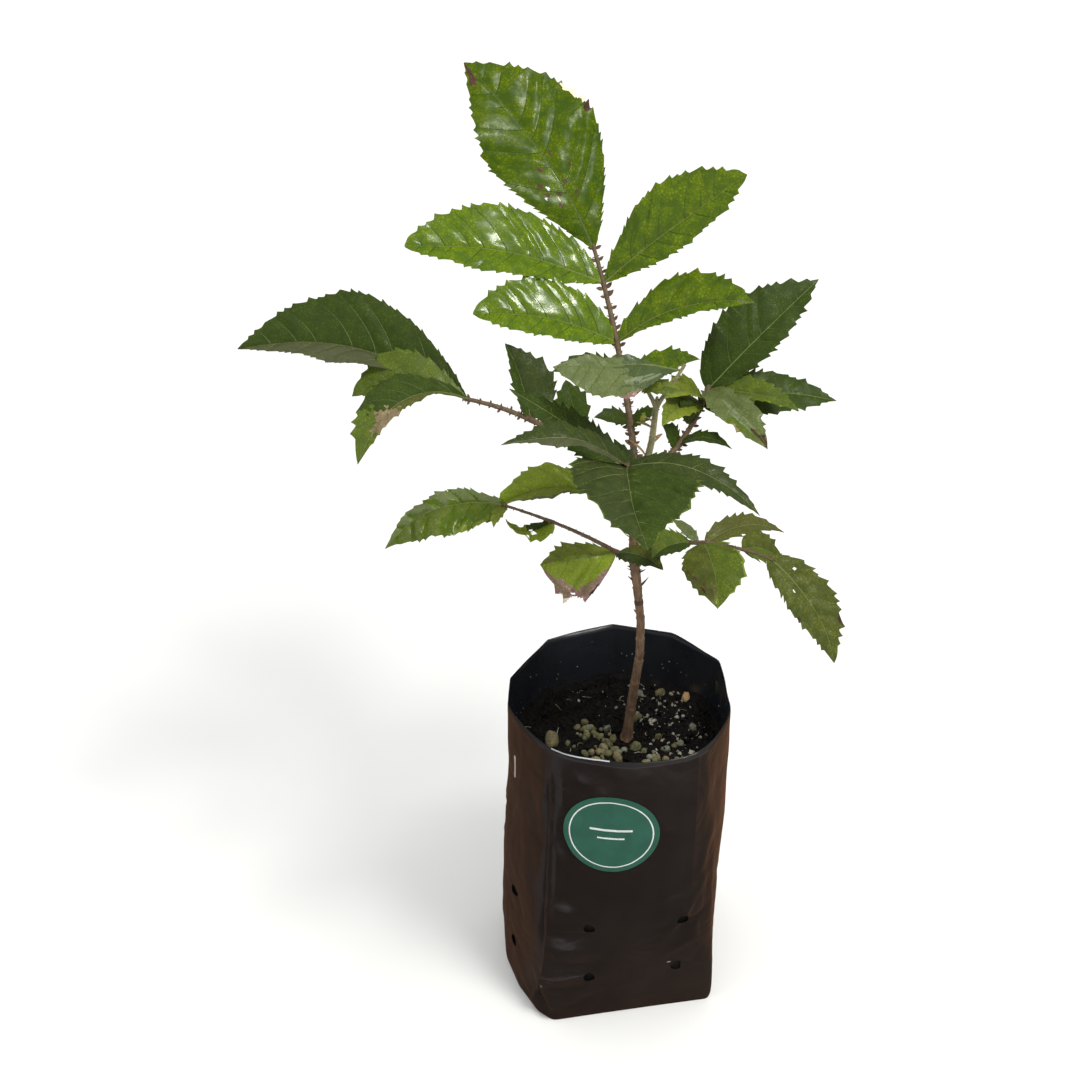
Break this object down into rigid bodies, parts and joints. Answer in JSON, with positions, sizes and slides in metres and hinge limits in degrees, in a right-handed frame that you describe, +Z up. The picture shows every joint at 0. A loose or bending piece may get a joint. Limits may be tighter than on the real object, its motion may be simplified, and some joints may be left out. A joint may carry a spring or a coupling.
{
  "type": "potted rainforest plum tree",
  "caption": "Young rainforest plum tree with a slender leaning stem and arching toothed compound fronds, growing in a soft black planter bag filled with potting mix.",
  "frame": {"origin": "middle of the flat underside of the planter bag", "axes": "+Z up, -Y towards the front with the round sticker, +X to the right seen from the front"},
  "size_m": [0.2954, 0.2484, 0.4838],
  "materials": {
    "bag_film": "glossy black film",
    "potting_mix": "rough, crumbly",
    "green_label": "satin",
    "bark": "rough",
    "bright_leaf": "glossy leaf",
    "dark_leaf": "satin leaf",
    "pale_leaf": "matt young leaf"
  },
  "bodies": {
    "root": {"planter_bag": "bag_film", "potting_mix": "potting_mix", "label": "green_label", "stem": "bark", "frond_back": "bright_leaf", "frond_left": "dark_leaf", "frond_front": "dark_leaf", "frond_right": "dark_leaf", "frond_young_left": "pale_leaf", "frond_young_right": "pale_leaf", "frond_low_left": "dark_leaf", "frond_mid_left": "pale_leaf", "frond_low_right": "dark_leaf"}
  },
  "joints": []
}
